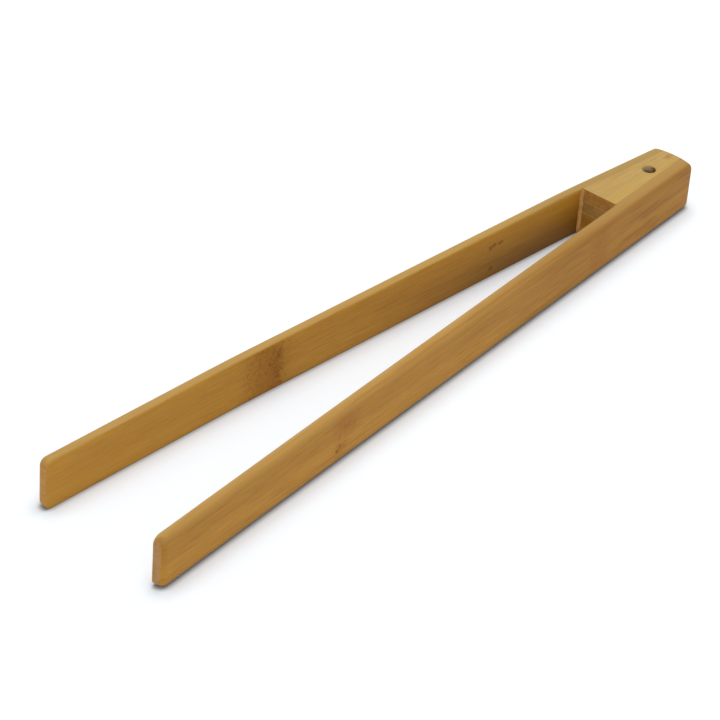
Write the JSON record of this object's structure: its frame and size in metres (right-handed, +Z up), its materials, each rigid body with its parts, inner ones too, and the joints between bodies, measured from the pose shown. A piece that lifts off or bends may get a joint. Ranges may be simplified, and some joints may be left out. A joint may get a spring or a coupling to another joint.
{
  "type": "print tongs",
  "caption": "Bamboo print tongs: springy flat strips on edge, glued to the sides of a wedge-shaped laminated block with a hanging hole, so that their tips squeeze together.",
  "frame": {"origin": "centre of the hanging hole at half the height of the tongs", "axes": "+X from the hole towards the tips, +Y towards the left arm, +Z up out of the upper side, along the hole"},
  "size_m": [0.3021, 0.0572, 0.0186],
  "materials": {
    "arm_bamboo": "sanded caramel bamboo, satin, fibres along the arm, darker speckled bands at the growth nodes",
    "block_bamboo": "sanded laminated bamboo, satin, paler than the arms, end grain on its front and butt",
    "wood_glue": "dried translucent wood glue, tan"
  },
  "bodies": {
    "block": {"bottom_lamina": "block_bamboo", "lower_middle_lamina": "block_bamboo", "upper_middle_lamina": "block_bamboo", "top_lamina": "block_bamboo", "left_arm_glue": "wood_glue", "right_arm_glue": "wood_glue", "lower_glue_line": "wood_glue", "middle_glue_line": "wood_glue", "upper_glue_line": "wood_glue", "left_arm_root": "arm_bamboo", "right_arm_root": "arm_bamboo"},
    "left_arm": {"left_arm_blade": "arm_bamboo"},
    "right_arm": {"right_arm_blade": "arm_bamboo"}
  },
  "joints": [
    {"name": "left_arm_flex", "type": "hinge", "parent": "block", "child": "left_arm", "pos_m": [0.07587, 0.01364, 0], "axis": [0, 0, 1], "range_deg": [-6.68, 0], "stiffness_Nm_per_rad": 15},
    {"name": "right_arm_flex", "type": "hinge", "parent": "block", "child": "right_arm", "pos_m": [0.07584, -0.01301, 0], "axis": [0, 0, 1], "range_deg": [0, 6.68], "stiffness_Nm_per_rad": 11}
  ],
  "couplings": [
    {"joint": "right_arm_flex", "follows": "left_arm_flex", "ratio": -1}
  ]
}
